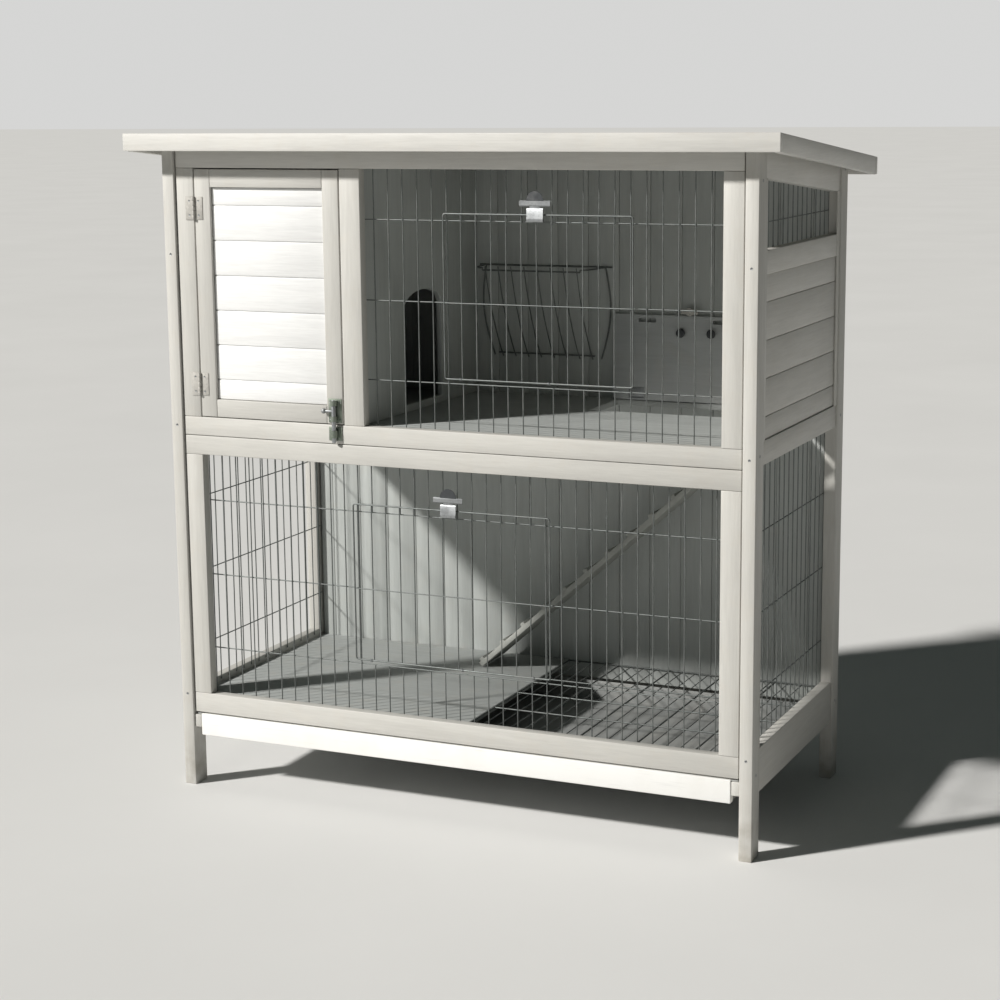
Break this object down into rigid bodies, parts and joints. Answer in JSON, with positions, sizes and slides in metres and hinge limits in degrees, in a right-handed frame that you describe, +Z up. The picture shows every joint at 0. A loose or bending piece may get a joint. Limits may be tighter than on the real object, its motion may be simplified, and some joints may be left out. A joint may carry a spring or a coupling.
{
  "type": "rabbit hutch",
  "caption": "Two-storey painted wooden rabbit hutch with a sloping roof, a nest box behind a boarded door, wire fronts, an inside ramp and a pull-out tray.",
  "frame": {"origin": "on the ground, below the centre of the roof's outline", "axes": "+X to the hutch's right as seen from the front, -Y out of the wire front, +Z up"},
  "size_m": [1.1, 0.54, 1.1],
  "materials": {
    "frame_paint": "painted satin",
    "white_paint": "painted satin",
    "tray_plastic": "smooth",
    "inner_paint": "painted matte",
    "roof_felt": "mineral felt",
    "ramp_wood": "painted, worn",
    "wire": "galvanised",
    "fitting_steel": "zinc plated"
  },
  "bodies": {
    "carcass": {"post_front_left": "frame_paint", "post_front_right": "frame_paint", "post_rear_left": "frame_paint", "post_rear_right": "frame_paint", "upper_frame_top_rail": "frame_paint", "upper_frame_bottom_rail": "frame_paint", "upper_frame_left_stile": "frame_paint", "upper_frame_mid_stile": "frame_paint", "upper_frame_right_stile": "frame_paint", "lower_frame_top_rail": "frame_paint", "lower_frame_bottom_rail": "frame_paint", "lower_frame_left_stile": "frame_paint", "lower_frame_right_stile": "frame_paint", "right_top_rail": "frame_paint", "right_window_rail": "frame_paint", "right_siding": "frame_paint", "right_mid_rail": "frame_paint", "right_bottom_rail": "frame_paint", "left_top_rail": "frame_paint", "left_siding": "frame_paint", "left_mid_rail": "frame_paint", "left_bottom_rail": "frame_paint", "back_frame": "frame_paint", "roof_front_fascia": "frame_paint", "roof_rear_fascia": "frame_paint", "roof_left_bargeboard": "frame_paint", "roof_right_bargeboard": "frame_paint", "tray_runner_left": "frame_paint", "tray_runner_right": "frame_paint", "back_boards": "inner_paint", "upper_floor": "inner_paint", "lower_floor_board": "inner_paint", "divider_wall": "inner_paint", "roof_board": "roof_felt", "lower_floor_grid": "wire", "hay_rack": "wire", "upper_front_mesh": "wire", "lower_front_mesh": "wire", "right_side_mesh": "wire", "left_side_mesh": "wire", "right_window_mesh": "wire", "nest_bolt_keeper": "fitting_steel", "nest_hinge_upper": "fitting_steel", "nest_hinge_lower": "fitting_steel"},
    "nest_door": {"nest_door_left_stile": "frame_paint", "nest_door_right_stile": "frame_paint", "nest_door_top_rail": "frame_paint", "nest_door_bottom_rail": "frame_paint", "nest_door_boards": "white_paint", "nest_bolt_plate": "fitting_steel"},
    "nest_bolt_rod": {"nest_bolt": "fitting_steel"},
    "tray_drawer": {"tray_rim": "tray_plastic", "tray_base": "tray_plastic"},
    "upper_door": {"upper_wire_door": "wire"},
    "upper_door_latch": {"upper_latch": "fitting_steel"},
    "lower_door": {"lower_wire_door": "wire"},
    "lower_door_latch": {"lower_latch": "fitting_steel"},
    "hatch": {"hatch_lid": "inner_paint"},
    "turn_button": {"hatch_turn_button": "fitting_steel"},
    "ramp_board": {"ramp": "ramp_wood"}
  },
  "joints": [
    {"name": "nest_door_hinge", "type": "hinge", "parent": "carcass", "child": "nest_door", "pos_m": [-0.4495, -0.2249, 0.84], "axis": [0, 0, -1], "range_deg": [0, 150]},
    {"name": "nest_bolt_slide", "type": "slide", "parent": "nest_door", "child": "nest_bolt_rod", "axis": [0, 0, 1], "range_m": [0, 0.026]},
    {"name": "tray_slide", "type": "slide", "parent": "carcass", "child": "tray_drawer", "axis": [0, -1, 0], "range_m": [0, 0.43]},
    {"name": "upper_door_hinge", "type": "hinge", "parent": "carcass", "child": "upper_door", "pos_m": [0.1475, -0.209, 0.7183], "axis": [1, 0, 0], "range_deg": [0, 110]},
    {"name": "upper_latch_slide", "type": "slide", "parent": "upper_door", "child": "upper_door_latch", "axis": [0, 0, 1], "range_m": [0, 0.012]},
    {"name": "lower_door_hinge", "type": "hinge", "parent": "carcass", "child": "lower_door", "pos_m": [-0.006, -0.209, 0.2478], "axis": [1, 0, 0], "range_deg": [0, 110]},
    {"name": "lower_latch_slide", "type": "slide", "parent": "lower_door", "child": "lower_door_latch", "axis": [0, 0, 1], "range_m": [0, 0.012]},
    {"name": "hatch_hinge", "type": "hinge", "parent": "carcass", "child": "hatch", "pos_m": [0.2675, 0.2135, 0.637], "axis": [1, 0, 0], "range_deg": [0, 92]},
    {"name": "turn_button_pivot", "type": "hinge", "parent": "carcass", "child": "turn_button", "pos_m": [0.247, 0.222, 0.791], "axis": [0, 1, 0], "range_deg": [0, 90]},
    {"name": "ramp_hinge", "type": "hinge", "parent": "carcass", "child": "ramp_board", "pos_m": [0.408, 0.167, 0.62], "axis": [0, 1, 0], "range_deg": [0, 38]}
  ]
}
